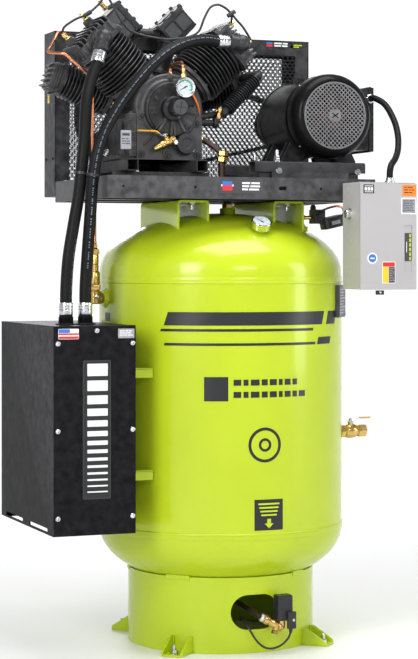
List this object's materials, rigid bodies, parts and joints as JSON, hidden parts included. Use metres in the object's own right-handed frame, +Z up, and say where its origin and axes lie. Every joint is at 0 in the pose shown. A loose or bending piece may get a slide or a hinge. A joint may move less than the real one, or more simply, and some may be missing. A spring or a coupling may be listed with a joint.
{
  "type": "vertical tank air compressor",
  "caption": "Vertical tank air compressor: belt-driven two-stage pump and motor on a deck above a round tank, with an intake silencer, hoses, guard and starter box.",
  "frame": {"origin": "centre of the bounding box at floor level", "axes": "+Z up, -Y the front of the machine, +X to its right as seen from the front"},
  "size_m": [1.169, 0.806, 2.0104],
  "materials": {
    "lime_paint": "gloss",
    "black_paint": "satin powder coat",
    "cast_black": "painted casting",
    "steel": "machined",
    "bright_metal": "plated",
    "brass": "machined",
    "copper": "drawn copper tube",
    "aluminium": "cast",
    "rubber": "matte",
    "starter_grey": "satin",
    "yellow_grip": "dipped",
    "black_plastic": "moulded",
    "filter_media": "pleated"
  },
  "bodies": {
    "root": {"bearing_cover": "cast_black", "check_valve": "brass", "conduit": "rubber", "contactor": "black_plastic", "crankcase": "cast_black", "crossover_pipe": "cast_black", "deck_channel_left": "lime_paint", "deck_channel_right": "lime_paint", "deck_frame": "black_paint", "discharge_pipe": "cast_black", "drain_cable": "rubber", "drain_valve": "brass", "drive_belt": "rubber", "filter_element": "filter_media", "first_stage_cylinder_left": "cast_black", "first_stage_cylinder_right": "cast_black", "first_stage_head_left": "cast_black", "first_stage_head_right": "cast_black", "guard_front_mesh": "black_paint", "guard_rear_mesh": "black_paint", "guard_shell": "black_paint", "header_box_left": "cast_black", "header_box_right": "cast_black", "intake_elbow_left": "black_plastic", "intake_elbow_right": "black_plastic", "intake_hose_left": "rubber", "intake_hose_right": "rubber", "intercooler_tube": "cast_black", "motor_body": "black_paint", "motor_fan_cover": "black_paint", "motor_slide_base": "black_paint", "oil_drain_valve": "brass", "oil_gauge": "bright_metal", "outlet_valve": "brass", "pressure_switch": "black_plastic", "relief_valve": "brass", "second_stage_cylinder_left": "cast_black", "second_stage_cylinder_right": "cast_black", "second_stage_head_left": "cast_black", "second_stage_head_right": "cast_black", "silencer_body": "black_paint", "silencer_cover": "black_paint", "starter_box": "starter_grey", "tank_barrel": "lime_paint", "tank_bottom_head": "lime_paint", "tank_gauge": "bright_metal", "tank_skirt": "lime_paint", "tank_top_head": "lime_paint", "unloader_line": "copper"},
    "crank": {"crankshaft": "steel", "flywheel": "cast_black"},
    "motor_shaft": {"motor_rotor": "steel", "motor_pulley": "cast_black"},
    "piston_left": {"first_stage_piston_left": "aluminium"},
    "piston_right": {"first_stage_piston_right": "aluminium"},
    "starter_cover": {"starter_door": "starter_grey"},
    "outlet_handle": {"outlet_lever": "yellow_grip"},
    "oil_drain_handle": {"oil_drain_lever": "yellow_grip"},
    "tank_needle": {"tank_gauge_needle": "black_plastic"},
    "oil_needle": {"oil_gauge_needle": "black_plastic"}
  },
  "joints": [
    {"name": "flywheel_spin", "type": "hinge", "parent": "root", "child": "crank", "pos_m": [-0.13153, 0.319, 1.65], "axis": [0, 1, 0], "continuous": true},
    {"name": "motor_spin", "type": "hinge", "parent": "root", "child": "motor_shaft", "pos_m": [0.37447, 0.319, 1.637], "axis": [0, 1, 0], "continuous": true},
    {"name": "piston_left_stroke", "type": "slide", "parent": "root", "child": "piston_left", "axis": [-0.7314, 0, 0.682], "range_m": [-0.035, 0.035]},
    {"name": "piston_right_stroke", "type": "slide", "parent": "root", "child": "piston_right", "axis": [0.7314, 0, 0.682], "range_m": [-0.035, 0.035]},
    {"name": "starter_cover_hinge", "type": "hinge", "parent": "root", "child": "starter_cover", "pos_m": [0.43847, -0.3985, 1.4175], "axis": [-1, 0, 0], "range_deg": [0, 95]},
    {"name": "outlet_handle_turn", "type": "hinge", "parent": "root", "child": "outlet_handle", "pos_m": [0.51047, 0.022, 0.666], "axis": [0, 0, 1], "range_deg": [-90, 0]},
    {"name": "oil_drain_handle_turn", "type": "hinge", "parent": "root", "child": "oil_drain_handle", "pos_m": [-0.15035, -0.07, 1.54729], "axis": [-0.4711, 0, 0.8821], "range_deg": [-5, 90]},
    {"name": "tank_needle_turn", "type": "hinge", "parent": "root", "child": "tank_needle", "pos_m": [0.07772, -0.27022, 1.30133], "axis": [0.02, 0.5406, -0.841], "range_deg": [0, 270], "stiffness_Nm_per_rad": 0.002},
    {"name": "oil_needle_turn", "type": "hinge", "parent": "root", "child": "oil_needle", "pos_m": [-0.10753, -0.1066, 1.714], "axis": [0, 1, 0], "range_deg": [0, 240], "stiffness_Nm_per_rad": 0.002}
  ],
  "couplings": [
    {"joint": "motor_spin", "follows": "flywheel_spin", "ratio": 2.8788}
  ]
}
